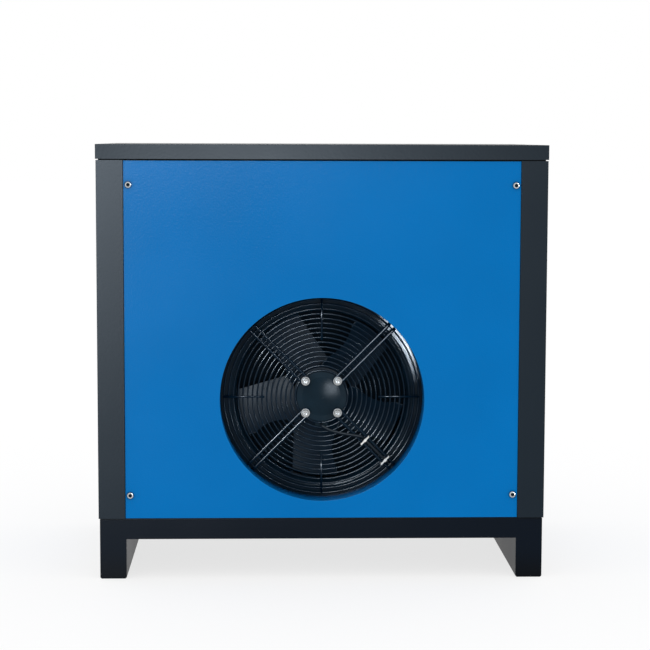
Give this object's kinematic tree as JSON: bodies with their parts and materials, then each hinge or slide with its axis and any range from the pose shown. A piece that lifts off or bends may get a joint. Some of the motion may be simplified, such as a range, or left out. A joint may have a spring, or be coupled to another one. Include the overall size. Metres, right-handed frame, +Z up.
{
  "type": "refrigerated air dryer",
  "caption": "Refrigerated compressed-air dryer: blue sheet-metal cabinet on dark skids with a guarded axial fan in one side, controls and air ports on the other.",
  "frame": {"origin": "bottom centre of the whole machine, on the floor", "axes": "+X to the right seen from the fan side, +Y from the fan side to the control side, +Z up"},
  "size_m": [0.804, 0.544, 0.778],
  "materials": {
    "charcoal_powder_coat": "satin powder coat",
    "blue_powder_coat": "glossy powder coat with orange peel",
    "zinc_plated_steel": "bright zinc",
    "black_enamel": "gloss",
    "black_wire_coat": "semi-gloss coated wire",
    "galvanised_sheet": "galvanised",
    "bearing_steel": "ground",
    "black_pvc": "soft sheath",
    "white_nylon": "nylon",
    "aluminium_fins": "mill finish",
    "copper_tube": "drawn copper",
    "black_rubber": "matt",
    "grey_plastic": "moulded",
    "brass_fittings": "machined",
    "stainless_steel": "brushed",
    "black_foam": "closed-cell foam",
    "grey_enamel": "satin",
    "red_grip": "dipped",
    "black_plastic": "moulded",
    "blue_hose": "polyurethane",
    "green_plastic": "moulded",
    "red_lens": "translucent",
    "clear_glass": "clear"
  },
  "bodies": {
    "cabinet": {"base_frame": "charcoal_powder_coat", "front_posts": "charcoal_powder_coat", "rear_posts": "charcoal_powder_coat", "top_frame": "charcoal_powder_coat", "top_cover": "charcoal_powder_coat", "fan_panel": "blue_powder_coat", "rear_panel": "blue_powder_coat", "left_panel": "blue_powder_coat", "right_panel": "blue_powder_coat", "panel_screws": "zinc_plated_steel", "fan_ring": "black_enamel", "fan_cowl": "galvanised_sheet", "fan_guard": "black_wire_coat", "motor_bolts": "zinc_plated_steel", "motor_stator": "black_enamel", "motor_bearings": "bearing_steel", "motor_cable": "black_pvc", "cable_ties": "white_nylon", "condenser_fins": "aluminium_fins", "condenser_coil": "copper_tube", "condenser_plates": "galvanised_sheet", "compressor_shell": "black_enamel", "compressor_grommets": "black_rubber", "compressor_bolts": "zinc_plated_steel", "terminal_cover": "grey_plastic", "discharge_pipe": "copper_tube", "liquid_pipe": "copper_tube", "filter_drier": "copper_tube", "expansion_pipe": "copper_tube", "expansion_valve": "brass_fittings", "suction_pipe": "copper_tube", "hot_gas_pipe": "copper_tube", "hot_gas_valve": "brass_fittings", "pressure_switch": "zinc_plated_steel", "heat_exchanger": "stainless_steel", "insulation_jacket": "black_foam", "inlet_pipe": "charcoal_powder_coat", "outlet_pipe": "charcoal_powder_coat", "water_separator": "grey_enamel", "ball_valve": "brass_fittings", "auto_drain": "black_plastic", "drain_hose": "blue_hose", "drain_outlet": "brass_fittings", "electrical_box": "galvanised_sheet", "contactor": "grey_plastic", "run_capacitor": "aluminium_fins", "terminal_block": "white_nylon", "control_fascia": "charcoal_powder_coat", "indicator_lamps": "red_lens", "gauge_cases": "stainless_steel", "gauge_lenses": "clear_glass", "cable_gland": "black_plastic"},
    "fan_rotor": {"motor_shaft": "bearing_steel", "rotor_shell": "black_enamel", "fan_impeller": "black_enamel"},
    "valve_lever_body": {"valve_lever": "red_grip"},
    "power_rocker": {"power_switch": "black_plastic"},
    "start_button_body": {"start_button": "green_plastic"},
    "dewpoint_needle": {"dewpoint_pointer": "red_grip"},
    "pressure_needle": {"pressure_pointer": "red_grip"}
  },
  "joints": [
    {"name": "fan_spin", "type": "hinge", "parent": "cabinet", "child": "fan_rotor", "pos_m": [0, -0.177, 0.3238], "axis": [0, 1, 0], "continuous": true},
    {"name": "drain_valve_turn", "type": "hinge", "parent": "cabinet", "child": "valve_lever_body", "pos_m": [0.214, 0.071, 0.15], "axis": [-1, 0, 0], "range_deg": [0, 90]},
    {"name": "power_switch_rock", "type": "hinge", "parent": "cabinet", "child": "power_rocker", "pos_m": [-0.14, 0.228, 0.622], "axis": [1, 0, 0], "range_deg": [-20, 0]},
    {"name": "start_button_press", "type": "slide", "parent": "cabinet", "child": "start_button_body", "axis": [0, -1, 0], "range_m": [0, 0.004], "stiffness_N_per_m": 600},
    {"name": "dewpoint_needle_turn", "type": "hinge", "parent": "cabinet", "child": "dewpoint_needle", "pos_m": [-0.276, 0.228, 0.622], "axis": [0, -1, 0], "range_deg": [0, 270]},
    {"name": "pressure_needle_turn", "type": "hinge", "parent": "cabinet", "child": "pressure_needle", "pos_m": [-0.206, 0.228, 0.622], "axis": [0, -1, 0], "range_deg": [0, 270]}
  ]
}
